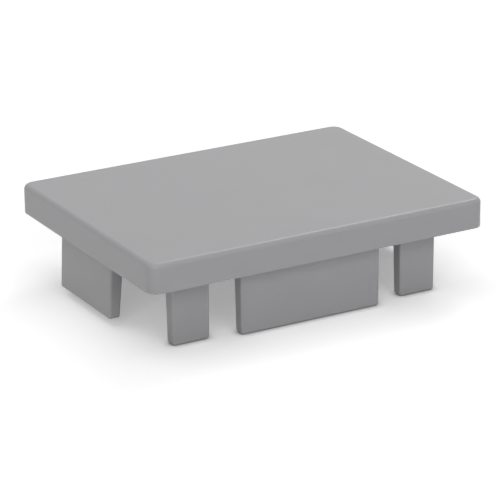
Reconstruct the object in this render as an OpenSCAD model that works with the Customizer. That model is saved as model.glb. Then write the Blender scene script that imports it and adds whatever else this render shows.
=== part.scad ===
// End cap for rectangular wiring trunking, moulded in one piece.
// It stands on the tips of its long-side tabs: Z = 0 is the plane of those tips,
// X runs along the plate's long sides, and Y from its front side to its rear side.

/* [Plate] */
// Length of the plate
plate_l = 40; // [38:0.5:80]
// Width of the plate
plate_w = 30; // [28:0.5:60]
// Thickness of the plate
plate_t = 3.2; // [2:0.1:6]
// Radius of the plate's four upright corners
corner_r = 1.3; // [1.1:0.1:4]
// Radius of the rounding along the plate's top edge
top_edge_r = 0.45; // [0.2:0.05:1]

/* [Every tab] */
// Thickness of a tab at its root
tab_root_t = 1.45; // [1.3:0.05:1.8]
// Thickness of a tab at its tip
tab_tip_t = 1.2; // [0.9:0.05:1.25]
// Distance by which each end of a tab draws in from root to tip
tab_end_draft = 0.05; // [0.02:0.01:0.3]
// Radius of the two upright edges of a tab's outer face
tab_edge_r = 0.25; // [0.15:0.05:0.5]
// Radius of the two corners of a tab's tip
tab_corner_r = 0.35; // [0.2:0.05:1.2]
// Radius of the long edges of a tab's tip
tab_tip_r = 0.15; // [0.1:0.05:0.4]
// Radius of the moulded root, where a tab grows out of the plate
tab_root_r = 0.4; // [0.2:0.05:0.8]

/* [Tabs on the long sides] */
// Distance that the long-side tabs reach below the plate
long_tab_drop = 7.4; // [5:0.1:12]
// Width of the middle tab of a long side
middle_tab_w = 16.75; // [8:0.05:17]
// Set-back of a middle tab's outer face from the plate's long edge
middle_tab_inset = 2.4; // [1.8:0.05:3]
// Width of a corner tab
corner_tab_w = 4.4; // [3:0.05:4.8]
// Set-back of a corner tab's outer face from the plate's long edge
corner_tab_inset = 3.35; // [1.8:0.05:4]
// Distance from a corner tab's outer end to the plate's short edge
corner_tab_end_gap = 4.1; // [3.9:0.05:5]

/* [Tabs on the short sides] */
// Distance that the side tabs reach below the plate
side_tab_drop = 6.5; // [4:0.1:10]
// Width of a side tab
side_tab_w = 11.55; // [6:0.05:12]
// Set-back of a side tab's outer face from the plate's short edge
side_tab_inset = 1.2; // [1:0.05:2]
// Distance by which the side tabs stand behind the middle of the short side
side_tab_shift = 1.8; // [0:0.1:2.5]
// Distance by which the tip of a side tab stands further out than its root, so that it grips
side_tab_splay = 0.3; // [0:0.05:0.6]

/* [Hidden] */

// Height of the plate's underside above the surface that the cap stands on
plate_z = max(long_tab_drop, side_tab_drop);
// Depth by which a tab and its moulded root run up into the plate, so that all is one solid
weld = 0.5;
// Depth by which the moulded root runs into the tab
root_lap = 0.1;
// Least depth at which the rim of a leaning tab's root lies in the plate
root_bury = 0.02;
// Reach of a cutting shape past what it cuts
beyond = 2;

moulding_grey = [0.66, 0.66, 0.67];
$fn = 48;

// What a rounding of radius r takes off a square corner at the origin, between +X and +Y
module corner_cut(r) {
    difference() {
        translate([-beyond, -beyond]) square(beyond + r);
        translate([r, r]) circle(r);
    }
}

// Section across a slab of width w as thick as the plate, both top edges rounded
module plate_section(w) {
    difference() {
        translate([-w / 2, 0]) square([w, plate_t]);
        for (side = [0, 1])
            mirror([side, 0]) translate([w / 2, plate_t]) rotate(180) corner_cut(top_edge_r);
    }
}

// Section of the plate's rim at a corner, from the corner's own axis out to the edge
module rim_section() {
    difference() {
        square([corner_r, plate_t]);
        translate([corner_r, plate_t]) rotate(180) corner_cut(top_edge_r);
    }
}

// The plate, with its underside on Z = 0: two crossing slabs and four turned corners
module plate() {
    run_x = plate_l - 2 * corner_r;
    run_y = plate_w - 2 * corner_r;
    translate([-run_x / 2, 0, 0]) rotate([90, 0, 90]) linear_extrude(run_x) plate_section(plate_w);
    translate([0, run_y / 2, 0]) rotate([90, 0, 0]) linear_extrude(run_y) plate_section(plate_l);
    for (mirror_x = [0, 1], mirror_y = [0, 1])
        mirror([mirror_x, 0, 0]) mirror([0, mirror_y, 0])
            translate([run_x / 2, run_y / 2, 0]) rotate_extrude(angle = 90) rim_section();
}

// A blade seen from its end: outer face upright on X = 0, inner face drawing in to the tip
module blade_end_view(drop) {
    difference() {
        polygon([
            [0, weld], [0, -drop], [tab_tip_t, -drop], [tab_tip_t, tab_tip_r - drop],
            [tab_root_t, -tab_root_r], [tab_root_t, weld]
        ]);
        translate([0, -drop]) corner_cut(tab_tip_r);
        translate([tab_tip_t, -drop]) rotate(90) corner_cut(tab_tip_r);
    }
}

// A blade seen from outside: both ends drawing in to the tip's rounded corners
module blade_front_view(w, drop) {
    tip_x = w / 2 - tab_end_draft;
    difference() {
        polygon([
            [-w / 2, weld], [-w / 2, -tab_root_r], [-tip_x, tab_corner_r - drop], [-tip_x, -drop],
            [tip_x, -drop], [tip_x, tab_corner_r - drop], [w / 2, -tab_root_r], [w / 2, weld]
        ]);
        for (side = [0, 1])
            mirror([side, 0]) translate([-tip_x, -drop]) corner_cut(tab_corner_r);
    }
}

// A blade seen from above: the outer face's two upright edges rounded
module blade_plan(w) {
    difference() {
        translate([-w / 2, 0]) square([w, tab_root_t]);
        for (side = [0, 1])
            mirror([side, 0]) translate([-w / 2, 0]) corner_cut(tab_edge_r);
    }
}

// The blade of a tab is what its three views have in common
module blade(w, drop) {
    intersection() {
        translate([-w / 2, 0, 0]) rotate([90, 0, 90]) linear_extrude(w) blade_end_view(drop);
        translate([0, tab_root_t, 0]) rotate([90, 0, 0]) linear_extrude(tab_root_t)
            blade_front_view(w, drop);
        translate([0, 0, -drop]) linear_extrude(drop + weld) blade_plan(w);
    }
}

// Section of the moulded root: X = 0 is the tab's face, Z = 0 the plate's underside
module root_section(lap) {
    difference() {
        translate([-lap, -tab_root_r]) square([lap + tab_root_r, tab_root_r + weld]);
        translate([tab_root_r, -tab_root_r]) circle(tab_root_r);
    }
}

// A straight length of the moulded root along the X axis, its hollow side facing -Y
module root_run(length) {
    translate([length / 2, 0, 0]) rotate([90, 0, -90]) linear_extrude(length) root_section(root_lap);
}

// The moulded root all round a tab: four straight runs and four turned corners
module root(w) {
    outer_run = w - 2 * tab_edge_r;
    end_run = tab_root_t - tab_edge_r;
    root_run(outer_run);
    translate([0, tab_root_t, 0]) rotate(180) root_run(w);
    for (side = [0, 1]) mirror([side, 0, 0]) {
        translate([-w / 2, tab_root_t - end_run / 2, 0]) rotate(-90) root_run(end_run);
        translate([-w / 2 + tab_edge_r, tab_edge_r, 0]) rotate(180)
            rotate_extrude(angle = 90) translate([tab_edge_r, 0]) root_section(root_lap);
        translate([-w / 2, tab_root_t, 0]) rotate(90) rotate_extrude(angle = 90) root_section(0);
    }
}

// A whole tab below the plane Z = 0, its outer face on Y = 0 and looking towards -Y
module tab(w, drop) {
    blade(w, drop);
    root(w);
}

// A tab that leans out, set into the plate far enough to bury the whole rim of its root
module splayed_tab(w, drop, splay) {
    lean = asin(splay / drop);
    depth = (tab_root_t + tab_root_r) * sin(lean) + root_bury;
    translate([0, 0, depth]) rotate([-lean, 0, 0]) tab(w, (drop + depth) / cos(lean));
}

// The three tabs of the front long side
module long_side_tabs() {
    corner_tab_x = plate_l / 2 - corner_tab_end_gap - corner_tab_w / 2;
    translate([0, middle_tab_inset - plate_w / 2, 0]) tab(middle_tab_w, long_tab_drop);
    for (side = [-1, 1])
        translate([side * corner_tab_x, corner_tab_inset - plate_w / 2, 0])
            tab(corner_tab_w, long_tab_drop);
}

// The tab of the left short side
module short_side_tab() {
    translate([side_tab_inset - plate_l / 2, side_tab_shift, 0]) rotate(-90)
        splayed_tab(side_tab_w, side_tab_drop, side_tab_splay);
}

module end_cap() {
    color(moulding_grey) translate([0, 0, plate_z]) union() {
        plate();
        for (side = [0, 1]) {
            mirror([0, side, 0]) long_side_tabs();
            mirror([side, 0, 0]) short_side_tab();
        }
    }
}

end_cap();
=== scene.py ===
"""Looks of a moulded end cap for wiring trunking.

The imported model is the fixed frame. The cap is one moulding, so one finished mesh stands
for its one node: a plate with rounded edges, and eight tabs below it, each drafted,
rounded and growing out of the plate through a rounded root. The rest of the file is the
plastic's finish, the white studio and the camera.

Lengths are in metres. X runs along the plate's long sides, Y from front to rear, Z up.
"""

from __future__ import annotations

import logging
import math
from collections.abc import Callable, Iterable
from dataclasses import dataclass, field
from enum import Enum
from typing import Any

import bmesh
import bpy
from mathutils import Matrix, Vector

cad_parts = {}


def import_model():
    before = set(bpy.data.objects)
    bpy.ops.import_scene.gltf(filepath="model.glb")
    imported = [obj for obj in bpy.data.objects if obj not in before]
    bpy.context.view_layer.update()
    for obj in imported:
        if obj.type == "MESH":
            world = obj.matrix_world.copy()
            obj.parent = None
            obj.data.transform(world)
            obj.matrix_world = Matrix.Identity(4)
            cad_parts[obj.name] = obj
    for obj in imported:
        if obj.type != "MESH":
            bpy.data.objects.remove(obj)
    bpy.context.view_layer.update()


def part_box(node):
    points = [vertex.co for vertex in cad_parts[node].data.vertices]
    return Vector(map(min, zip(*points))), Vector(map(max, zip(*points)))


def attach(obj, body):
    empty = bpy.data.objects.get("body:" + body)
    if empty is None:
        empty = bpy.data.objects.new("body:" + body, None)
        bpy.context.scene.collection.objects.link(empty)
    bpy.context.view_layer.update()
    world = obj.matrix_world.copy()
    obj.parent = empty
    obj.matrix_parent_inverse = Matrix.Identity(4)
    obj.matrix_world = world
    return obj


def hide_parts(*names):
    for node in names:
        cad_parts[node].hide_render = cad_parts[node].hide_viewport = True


log = logging.getLogger("end_cap")

MM = 0.001
NEAR = 0.004 * MM
MERGED = 0.001 * MM


class Side(Enum):
    """A side of the plate, with the direction that its tabs' outer faces look in."""

    FRONT = (0.0, -1.0)
    REAR = (0.0, 1.0)
    LEFT = (-1.0, 0.0)
    RIGHT = (1.0, 0.0)

    @property
    def outward(self) -> Vector:
        """Direction out of the plate, level."""
        return Vector((*self.value, 0.0))

    @property
    def along(self) -> Vector:
        """Direction along the side, level."""
        return Vector((-self.value[1], self.value[0], 0.0))


class Socket:
    """A shader value that reads like a number in an expression."""

    def __init__(self, shader: Shader, link: bpy.types.NodeSocket | None) -> None:
        """Wraps an output socket of one of the shader's nodes."""
        self.shader = shader
        self.link = link

    def _math(self, operation: str, *values: Any) -> Socket:
        """Adds the Math node for one operation on these values."""
        return self.shader.node("ShaderNodeMath", {"operation": operation}, dict(enumerate(values)))

    def __add__(self, other: Any) -> Socket:
        """Sum of this value and another."""
        return self._math("ADD", self, other)

    def __radd__(self, other: float) -> Socket:
        """Sum of a number and this value."""
        return self._math("ADD", other, self)

    def __sub__(self, other: Any) -> Socket:
        """This value less another."""
        return self._math("SUBTRACT", self, other)

    def __rsub__(self, other: float) -> Socket:
        """A number less this value."""
        return self._math("SUBTRACT", other, self)

    def __mul__(self, other: Any) -> Socket:
        """Product of this value and another."""
        return self._math("MULTIPLY", self, other)

    def __rmul__(self, other: float) -> Socket:
        """Product of a number and this value."""
        return self._math("MULTIPLY", other, self)


class Shader:
    """A node tree that is written as expressions."""

    def __init__(self, tree: bpy.types.NodeTree) -> None:
        """Empties the tree.

        Args:
            tree: the node tree of a material or of the world.
        """
        self.tree = tree
        tree.nodes.clear()

    def node(
        self,
        kind: str,
        settings: dict[str, Any] | None = None,
        inputs: dict[str | int, Any] | None = None,
        output: str | int = 0,
    ) -> Socket:
        """Adds a node.

        Args:
            kind: Blender's name of the node type.
            settings: the node's own properties, which are set first.
            inputs: a value or a Socket for each input, by name or number.
            output: the output that the returned value stands for.

        Returns:
            The chosen output.
        """
        made = self.tree.nodes.new(kind)
        for name, value in (settings or {}).items():
            setattr(made, name, value)
        for key, value in (inputs or {}).items():
            if isinstance(value, Socket):
                self.tree.links.new(value.link, made.inputs[key])
            else:
                made.inputs[key].default_value = value
        if not made.outputs:
            return Socket(self, None)
        return Socket(self, made.outputs[output])

    def noise(self, place: Socket, grain: float, detail: float, seed: float) -> Socket:
        """Smooth noise about zero.

        Args:
            place: the position at which it is read.
            grain: size of its patches, in metres.
            detail: number of finer layers on top.
            seed: offset that makes one noise unlike another.

        Returns:
            A value from about -0.5 to 0.5.
        """
        moved = self.node("ShaderNodeVectorMath", {"operation": "ADD"}, {0: place, 1: (seed,) * 3})
        noise = self.node(
            "ShaderNodeTexNoise",
            inputs={"Vector": moved, "Scale": 1 / grain, "Detail": detail, "Roughness": 0.5},
        )
        return noise - 0.5

    def seen(self) -> Socket:
        """One for a ray by which a surface is seen, straight or in a gloss, and otherwise zero."""
        rays = ("Is Camera Ray", "Is Glossy Ray", "Is Transmission Ray")
        camera, glossy, clear = (self.node("ShaderNodeLightPath", output=ray) for ray in rays)
        clamped_sum = {"operation": "ADD", "use_clamp": True}
        return self.node("ShaderNodeMath", clamped_sum, {0: camera + glossy, 1: clear})


@dataclass(frozen=True)
class MouldedPlastic:
    """Grey plastic with the fine satin skin of a spark-eroded mould."""

    name: str = "moulded_grey_plastic"
    grey: tuple[float, float, float] = (0.36, 0.36, 0.37)
    cloudiness: float = 0.05
    cloud_size: float = 5 * MM
    roughness: float = 0.34
    roughness_swing: float = 0.09
    specular: float = 0.4
    grain_size: float = 0.11 * MM
    grain_height: float = 0.0035 * MM
    ripple_size: float = 3.2 * MM
    ripple_height: float = 0.006 * MM

    def material(self) -> bpy.types.Material:
        """Builds the material.

        Returns:
            The plastic, with its colour, gloss and relief read from Object coordinates.
        """
        made = bpy.data.materials.new(self.name)
        made.use_nodes = True
        made.diffuse_color = (*self.grey, 1.0)
        shader = Shader(made.node_tree)
        place = shader.node("ShaderNodeTexCoord", output="Object")
        cloud = shader.noise(place, self.cloud_size, detail=3.0, seed=0.31)
        grain = shader.noise(place, self.grain_size, detail=2.0, seed=1.7)
        ripple = shader.noise(place, self.ripple_size, detail=1.0, seed=4.2)
        colour = shader.node(
            "ShaderNodeMix",
            {"data_type": "RGBA"},
            {
                "Factor": cloud + 0.5,
                "A": (*(c * (1 - self.cloudiness) for c in self.grey), 1.0),
                "B": (*(c * (1 + self.cloudiness) for c in self.grey), 1.0),
            },
            output="Result",
        )
        height = grain * self.grain_height + ripple * self.ripple_height
        relief = shader.node("ShaderNodeBump", inputs={"Strength": 1.0, "Distance": 1.0, "Height": height})
        surface = shader.node(
            "ShaderNodeBsdfPrincipled",
            inputs={
                "Base Color": colour,
                "Roughness": self.roughness + (cloud + grain) * self.roughness_swing,
                "Specular IOR Level": self.specular,
                "Normal": relief,
            },
        )
        shader.node("ShaderNodeOutputMaterial", inputs={"Surface": surface})
        return made


class Modeller:
    """One mesh in edit mode, shaped by operators on what is selected by place."""

    def __init__(self, name: str, low: Vector, high: Vector) -> None:
        """Starts from a block.

        Args:
            name: name of the finished piece.
            low: the block's lowest corner.
            high: the block's highest corner.
        """
        bpy.ops.object.select_all(action="DESELECT")
        bpy.ops.mesh.primitive_cube_add(size=1.0, location=(low + high) / 2, scale=high - low)
        self.piece = bpy.context.active_object
        self.piece.name = name
        self.piece.data.name = name
        bpy.ops.object.transform_apply(location=True, rotation=True, scale=True)
        bpy.ops.object.mode_set(mode="EDIT")

    def add_block(self, low: Vector, high: Vector) -> None:
        """Adds a block to the mesh, from its lowest to its highest corner."""
        bpy.ops.mesh.select_all(action="DESELECT")
        bpy.ops.mesh.primitive_cube_add(size=1.0, location=(low + high) / 2, scale=high - low)

    def _select(self, mode: str, parts: str, wanted: Callable[[Any], bool]) -> None:
        """Selects what a test accepts, and nothing else.

        Args:
            mode: Blender's name of the selection mode.
            parts: the mesh's list of such parts, which has to hold at least one that is accepted.
            wanted: the test.
        """
        bpy.ops.mesh.select_mode(type=mode)
        bpy.ops.mesh.select_all(action="DESELECT")
        mesh = bmesh.from_edit_mesh(self.piece.data)
        chosen = [part for part in getattr(mesh, parts) if wanted(part)]
        if not chosen:
            raise ValueError(f"{self.piece.name} has no {parts} in the place that is to be shaped")
        for part in chosen:
            part.select_set(True)
        mesh.select_flush_mode()
        bmesh.update_edit_mesh(self.piece.data)

    def select_faces(self, wanted: Callable[[bmesh.types.BMFace], bool]) -> None:
        """Selects the faces that a test accepts."""
        self._select("FACE", "faces", wanted)

    def select_edges(self, wanted: Callable[[bmesh.types.BMEdge], bool]) -> None:
        """Selects the edges that a test accepts."""
        self._select("EDGE", "edges", wanted)

    def select_points(self, wanted: Callable[[bmesh.types.BMVert], bool]) -> None:
        """Selects the vertices that a test accepts."""
        self._select("VERT", "verts", wanted)

    def round_edges(
        self, wanted: Callable[[bmesh.types.BMEdge], bool], radius: float, steps: int, even: bool = False
    ) -> None:
        """Rounds the edges that a test accepts.

        Args:
            wanted: the test.
            radius: radius of the rounding.
            steps: number of faces across it.
            even: whether it is equally wide round corners, instead of following the mesh's edges.
        """
        self.select_edges(wanted)
        bpy.ops.mesh.bevel(
            offset=radius,
            offset_type="OFFSET",
            segments=steps,
            profile=0.5,
            affect="EDGES",
            clamp_overlap=False,
            loop_slide=not even,
        )

    def open_face(self, wanted: Callable[[bmesh.types.BMFace], bool]) -> None:
        """Takes out the faces that a test accepts and leaves their edges."""
        self.select_faces(wanted)
        bpy.ops.mesh.delete(type="ONLY_FACE")

    def spread(self, wanted: Callable[[bmesh.types.BMFace], bool], middle: Vector, factors: Vector) -> None:
        """Sets a flange round a level face, and takes the face out.

        Args:
            wanted: the test that accepts the face.
            middle: the point that the flange spreads from.
            factors: the flange's size on each axis, as a multiple of the face's.
        """
        self.select_faces(wanted)
        bpy.ops.mesh.extrude_region_move()
        bpy.ops.transform.resize(value=factors, center_override=middle)
        bpy.ops.mesh.delete(type="ONLY_FACE")

    def close(self) -> None:
        """Fills the one level surface between all open edges."""
        self.select_edges(lambda edge: edge.is_boundary)
        bpy.ops.mesh.fill(use_beauty=True)

    def shift(self, wanted: Callable[[bmesh.types.BMVert], bool], travel: Vector) -> None:
        """Moves the vertices that a test accepts."""
        self.select_points(wanted)
        bpy.ops.transform.translate(value=travel)

    def finish(self, smooth_below: float) -> bpy.types.Object:
        """Merges what meets, turns all faces outwards and smooths the finished piece.

        Args:
            smooth_below: angle between faces, in degrees, up to which an edge is smooth.

        Returns:
            The finished piece.
        """
        bpy.ops.mesh.select_all(action="SELECT")
        bpy.ops.mesh.remove_doubles(threshold=MERGED)
        bpy.ops.mesh.normals_make_consistent(inside=False)
        bpy.ops.object.mode_set(mode="OBJECT")
        bpy.ops.object.shade_smooth_by_angle(angle=math.radians(smooth_below))
        weighting = self.piece.modifiers.new("weighting", "WEIGHTED_NORMAL")
        weighting.keep_sharp = True
        bpy.ops.object.modifier_apply(modifier=weighting.name)
        return self.piece


def throughout(part: bmesh.types.BMEdge | bmesh.types.BMFace, test: Callable[[Vector], bool]) -> bool:
    """Whether every vertex of an edge or a face passes a test."""
    return all(test(vert.co) for vert in part.verts)


@dataclass
class Plate:
    """The flat plate, with rounded corners and a rounded top edge."""

    low: Vector
    high: Vector
    corner_radius: float = 1.3 * MM
    corner_steps: int = 14
    top_radius: float = 0.55 * MM
    top_steps: int = 8
    bottom_radius: float = 0.05 * MM
    bottom_steps: int = 2

    def model(self, name: str) -> Modeller:
        """Shapes the plate from a block, and leaves its underside open for the tabs.

        Args:
            name: name of the piece.

        Returns:
            The mesh in edit mode, to go on with.
        """
        modeller = Modeller(name, self.low, self.high)
        modeller.round_edges(self.is_upright, self.corner_radius, self.corner_steps)
        modeller.round_edges(self.in_top, self.top_radius, self.top_steps)
        modeller.round_edges(self.in_underside, self.bottom_radius, self.bottom_steps)
        modeller.open_face(self.in_underside)
        return modeller

    def is_upright(self, edge: bmesh.types.BMEdge) -> bool:
        """Whether an edge of the block stands upright."""
        return abs(edge.verts[0].co.z - edge.verts[1].co.z) > NEAR

    def in_top(self, part: bmesh.types.BMEdge | bmesh.types.BMFace) -> bool:
        """Whether an edge or a face lies in the plate's top."""
        return throughout(part, lambda point: abs(point.z - self.high.z) < NEAR)

    def in_underside(self, part: bmesh.types.BMEdge | bmesh.types.BMFace) -> bool:
        """Whether an edge or a face lies in the plate's underside."""
        return throughout(part, lambda point: abs(point.z - self.low.z) < NEAR)


@dataclass
class Tab:
    """One upright tab below the plate."""

    side: Side
    origin: Vector
    width: float
    drop: float
    splay: float = 0.0
    root_thickness: float = 1.45 * MM
    tip_thickness: float = 1.2 * MM
    end_draft: float = 0.05 * MM
    corner_radius: float = 0.35 * MM
    corner_steps: int = 7
    outer_radius: float = 0.22 * MM
    outer_steps: int = 5
    inner_radius: float = 0.13 * MM
    inner_steps: int = 3
    root_radius: float = 0.4 * MM
    root_steps: int = 5
    flange: float = 0.6 * MM

    def local(self, point: Vector) -> tuple[float, float, float]:
        """A point's place along the tab, inwards from its outer face, and down from the plate."""
        away = point - self.origin
        return away.dot(self.side.along), -away.dot(self.side.outward), -away.z

    def grow(self, modeller: Modeller) -> None:
        """Shapes the tab below the open underside, with a level flange round its root.

        Args:
            modeller: the cap's mesh, in edit mode.
        """
        half = self.side.along * self.width / 2
        reach = self.side.outward * -self.root_thickness + Vector((0.0, 0.0, -self.drop))
        near, far = self.origin - half, self.origin + half + reach
        low = Vector(map(min, near, far))
        high = Vector(map(max, near, far))
        modeller.add_block(low, high)
        self.taper(modeller)
        self.round_outline(modeller)
        middle = self.origin - self.side.outward * self.root_thickness / 2
        factors = Vector(1.0 + 2 * self.flange / size for size in high - low)
        modeller.spread(self.is_root, middle, factors)
        modeller.round_edges(self.is_root, self.root_radius, self.root_steps, even=True)

    def within(self, point: Vector) -> bool:
        """Whether a point belongs to the tab, its flange apart."""
        u, v, depth = self.local(point)
        return (
            abs(u) < self.width / 2 + NEAR
            and -NEAR - self.splay < v < self.root_thickness + NEAR
            and -NEAR < depth < self.drop + NEAR
        )

    def at_tip(self, point: Vector) -> bool:
        """Whether a point lies in the plane of the tab's tip."""
        return self.within(point) and self.local(point)[2] > self.drop - NEAR

    def at_root(self, point: Vector) -> bool:
        """Whether a point of the tab lies at the plate's underside."""
        return self.within(point) and self.local(point)[2] < NEAR

    def taper(self, modeller: Modeller) -> None:
        """Draws in the inner face and both ends towards the tip, and splays the whole tip."""
        thinned = self.root_thickness - self.tip_thickness
        modeller.shift(
            lambda vert: self.at_tip(vert.co) and self.local(vert.co)[1] > self.root_thickness / 2,
            self.side.outward * thinned,
        )
        for end in (-1, 1):
            modeller.shift(
                lambda vert, end=end: self.at_tip(vert.co) and self.local(vert.co)[0] * end > 0,
                self.side.along * -end * self.end_draft,
            )
        modeller.shift(lambda vert: self.at_tip(vert.co), self.side.outward * self.splay)

    def round_outline(self, modeller: Modeller) -> None:
        """Rounds the tip's corners, then the outlines of both faces."""
        modeller.round_edges(self.is_tip_corner, self.corner_radius, self.corner_steps)
        modeller.round_edges(self.bounds_outer_face, self.outer_radius, self.outer_steps)
        modeller.round_edges(self.bounds_inner_face, self.inner_radius, self.inner_steps)

    def is_tip_corner(self, edge: bmesh.types.BMEdge) -> bool:
        """Whether an edge runs across the tip, at either of its ends."""
        tip_end = self.width / 2 - self.end_draft
        at_an_end = all(abs(self.local(vert.co)[0]) > tip_end - NEAR for vert in edge.verts)
        one_end = abs((edge.verts[0].co - edge.verts[1].co).dot(self.side.along)) < NEAR
        return throughout(edge, self.at_tip) and at_an_end and one_end

    def bounds_outer_face(self, edge: bmesh.types.BMEdge) -> bool:
        """Whether an edge bounds the outer face, its root apart."""
        return self.bounds_face(edge, 0.0, 0.0)

    def bounds_inner_face(self, edge: bmesh.types.BMEdge) -> bool:
        """Whether an edge bounds the inner face, its root apart."""
        return self.bounds_face(edge, self.root_thickness, self.tip_thickness)

    def bounds_face(self, edge: bmesh.types.BMEdge, inset_at_root: float, inset_at_tip: float) -> bool:
        """Whether an edge bounds one of the tab's two broad faces.

        Args:
            edge: the edge.
            inset_at_root: how far behind the outer face this face lies at the root.
            inset_at_tip: how far behind the outer face it lies at the tip.

        Returns:
            True for an edge of that face, except the one at the root.
        """
        slope = (inset_at_tip - self.splay - inset_at_root) / self.drop
        places = [self.local(vert.co) for vert in edge.verts]
        in_face = all(abs(v - inset_at_root - slope * depth) < NEAR for _, v, depth in places)
        return in_face and throughout(edge, self.within) and not self.is_root(edge)

    def is_root(self, part: bmesh.types.BMEdge | bmesh.types.BMFace) -> bool:
        """Whether an edge or a face lies where the tab meets the plate."""
        return throughout(part, self.at_root)


@dataclass
class EndCap:
    """The whole moulding: the plate and its eight tabs."""

    low: Vector
    high: Vector
    finish: MouldedPlastic
    name: str = "end_cap_moulding"
    plate_thickness: float = 3.2 * MM
    middle_tab_width: float = 16.75 * MM
    middle_tab_inset: float = 2.4 * MM
    corner_tab_width: float = 4.4 * MM
    corner_tab_inset: float = 3.35 * MM
    corner_tab_end_gap: float = 4.1 * MM
    side_tab_width: float = 11.55 * MM
    side_tab_inset: float = 1.2 * MM
    side_tab_shift: float = 1.8 * MM
    side_tab_drop: float = 6.5 * MM
    side_tab_splay: float = 0.3 * MM
    smooth_below: float = 40.0
    underside: float = field(init=False)
    tabs: list[Tab] = field(init=False)

    def __post_init__(self) -> None:
        """Places the tabs under the plate."""
        self.underside = self.high.z - self.plate_thickness
        long_drop = self.underside - self.low.z
        corner_x = self.high.x - self.corner_tab_end_gap - self.corner_tab_width / 2
        self.tabs = []
        for side in (Side.FRONT, Side.REAR):
            self.add_tab(side, 0.0, self.middle_tab_inset, self.middle_tab_width, long_drop)
            for x in (-corner_x, corner_x):
                self.add_tab(side, x, self.corner_tab_inset, self.corner_tab_width, long_drop)
        for side in (Side.LEFT, Side.RIGHT):
            self.add_tab(
                side,
                self.side_tab_shift,
                self.side_tab_inset,
                self.side_tab_width,
                self.side_tab_drop,
                self.side_tab_splay,
            )

    def add_tab(
        self, side: Side, place: float, inset: float, width: float, drop: float, splay: float = 0.0
    ) -> None:
        """Adds a tab.

        Args:
            side: the side of the plate that it stands along.
            place: X of its middle on a long side, Y on a short one.
            inset: set-back of its outer face from the plate's edge.
            width: its width at the root.
            drop: how far it reaches below the plate.
            splay: how much further out its tip stands than its root.
        """
        outward = side.outward
        reach = abs(outward.x) * self.high.x + abs(outward.y) * self.high.y - inset
        level = Vector((place, 0.0, 0.0)) if outward.x == 0 else Vector((0.0, place, 0.0))
        origin = level + outward * reach + Vector((0.0, 0.0, self.underside))
        self.tabs.append(Tab(side, origin, width, drop, splay))

    def build(self) -> bpy.types.Object:
        """Models the cap.

        Returns:
            The finished, dressed piece.
        """
        plate = Plate(Vector((self.low.x, self.low.y, self.underside)), self.high.copy())
        modeller = plate.model(self.name)
        for tab in self.tabs:
            tab.grow(modeller)
        modeller.close()
        piece = modeller.finish(self.smooth_below)
        piece.data.materials.append(self.finish.material())
        return piece


def direction(azimuth: float, elevation: float) -> Vector:
    """Direction away from the cap, in degrees to the right of its front and above the level."""
    turn, tilt = math.radians(azimuth), math.radians(elevation)
    return Vector((math.sin(turn) * math.cos(tilt), -math.cos(turn) * math.cos(tilt), math.sin(tilt)))


@dataclass(frozen=True)
class PhotoCamera:
    """The camera, as fitted to the plate's outline in a square frame."""

    azimuth: float = -29.6
    elevation: float = 20.24
    roll: float = -0.44
    distance: float = 305.2 * MM
    focal_length: float = 205.5
    sensor: float = 36.0
    right_of_middle: float = -0.07 * MM
    above_underside: float = -3.38 * MM
    nearest: float = 1.0 * MM

    def place(self, underside: float) -> None:
        """Adds the camera.

        Args:
            underside: height of the plate's underside, whose middle the aim is measured from.
        """
        turn = math.radians(self.azimuth)
        back = direction(self.azimuth, self.elevation)
        level = Vector((math.cos(turn), math.sin(turn), 0.0))
        upright = back.cross(level)
        rolled = Matrix.Rotation(math.radians(self.roll), 3, back)
        right, up = rolled @ level, rolled @ upright
        aim = Vector((0.0, 0.0, underside)) + right * self.right_of_middle + up * self.above_underside
        data = bpy.data.cameras.new("camera")
        data.sensor_width = self.sensor
        data.lens = self.focal_length
        data.clip_start = self.nearest
        camera = bpy.data.objects.new("camera", data)
        bpy.context.scene.collection.objects.link(camera)
        turned = Matrix((right, up, back)).transposed().to_4x4()
        camera.matrix_world = Matrix.Translation(aim + back * self.distance) @ turned
        bpy.context.scene.camera = camera


@dataclass(frozen=True)
class Softbox:
    """A square studio lamp that looks at the cap."""

    name: str
    azimuth: float
    elevation: float
    size: float
    level: float
    distance: float = 1.0

    def light(self) -> None:
        """Adds the lamp, its power set so that level is what a facing white surface shows."""
        away = direction(self.azimuth, self.elevation)
        data = bpy.data.lights.new(self.name, "AREA")
        data.shape = "SQUARE"
        data.size = self.size
        data.energy = self.level * math.pi**2 * self.distance**2
        lamp = bpy.data.objects.new(self.name, data)
        lamp.location = away * self.distance
        lamp.rotation_euler = away.to_track_quat("Z", "Y").to_euler()
        bpy.context.scene.collection.objects.link(lamp)


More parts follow.
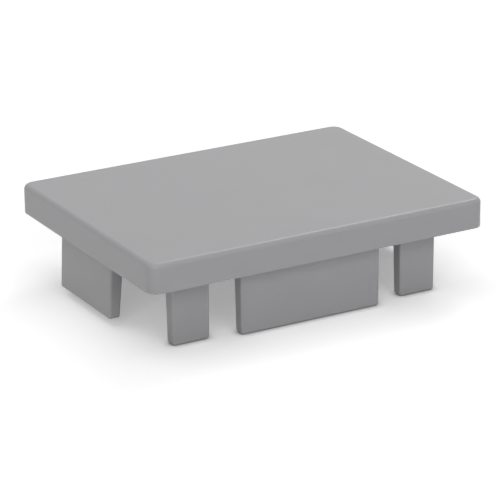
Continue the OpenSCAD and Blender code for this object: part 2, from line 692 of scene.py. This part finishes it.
@dataclass(frozen=True)
class Studio:
    """A white floor that keeps the cap's soft shadow, with painted contact shade close to the cap, under an
    even sky.
    """

    sky: float = 0.135
    floor_size: float = 4.0
    floor_glow: float = 0.31
    floor_bounce: float = 0.8
    # reach and samples of the painted contact shade that darkens the floor close to the cap
    painted_shade_reach: float = 0.9 * MM
    painted_shade_samples: int = 8
    lamps: tuple[Softbox, ...] = (
        Softbox("overhead", azimuth=0.0, elevation=90.0, size=1.0, level=0.35),
        Softbox("front", azimuth=0.0, elevation=30.0, size=0.5, level=0.17),
        Softbox("front_left", azimuth=-42.0, elevation=22.0, size=0.6, level=0.27),
        Softbox("front_right", azimuth=30.0, elevation=15.0, size=0.5, level=0.05),
        Softbox("rear_left", azimuth=-120.0, elevation=60.0, size=0.6, level=0.09),
        Softbox("rear_right", azimuth=130.0, elevation=45.0, size=0.35, level=0.19),
    )

    def build(self) -> None:
        """Adds the sky, the floor and the lamps."""
        self.add_sky()
        self.add_floor()
        for lamp in self.lamps:
            lamp.light()

    def add_sky(self) -> None:
        """Adds a sky that is white where it is seen and otherwise gives an even, low light."""
        world = bpy.data.worlds.new("studio")
        world.use_nodes = True
        bpy.context.scene.world = world
        shader = Shader(world.node_tree)
        seen = shader.seen()
        strength = self.sky + seen * (1.0 - self.sky)
        sky = shader.node("ShaderNodeBackground", inputs={"Color": (1, 1, 1, 1), "Strength": strength})
        shader.node("ShaderNodeOutputWorld", inputs={"Surface": sky})

    def add_floor(self) -> None:
        """Adds a floor that is white where it is seen unshaded, and darker close to the cap by painted
        shade.
        """
        bpy.ops.mesh.primitive_plane_add(size=self.floor_size)
        floor = bpy.context.active_object
        floor.name = "floor"
        made = bpy.data.materials.new("floor")
        made.use_nodes = True
        shader = Shader(made.node_tree)
        seen = shader.seen()
        # painted shade: ambient occlusion darkens the floor's seen colour and glow close to the cap
        painted_shade_factor = shader.node(
            "ShaderNodeAmbientOcclusion",
            {"samples": self.painted_shade_samples},
            {"Distance": self.painted_shade_reach},
            output="AO",
        )
        shade = self.floor_bounce + seen * (painted_shade_factor - self.floor_bounce)
        colour = shader.node("ShaderNodeCombineColor", inputs={0: shade, 1: shade, 2: shade})
        lit = shader.node("ShaderNodeBsdfDiffuse", inputs={"Color": colour})
        strength = seen * painted_shade_factor * self.floor_glow
        glow = shader.node("ShaderNodeEmission", inputs={"Color": (1, 1, 1, 1), "Strength": strength})
        surface = shader.node("ShaderNodeAddShader", inputs={0: lit, 1: glow})
        shader.node("ShaderNodeOutputMaterial", inputs={"Surface": surface})
        floor.data.materials.append(made)


def main() -> None:
    """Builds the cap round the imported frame, then the camera and the studio."""
    logging.basicConfig(level=logging.INFO, format="%(name)s: %(message)s")
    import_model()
    low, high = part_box("end_cap")
    cap = EndCap(low, high, MouldedPlastic())
    piece = cap.build()
    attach(piece, "root")
    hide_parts("end_cap")
    log.info("%s: %d faces, %d tabs", piece.name, len(piece.data.polygons), len(cap.tabs))
    PhotoCamera().place(cap.underside)
    Studio().build()
    bpy.context.scene.view_settings.view_transform = "Standard"


if __name__ == "__main__":
    main()
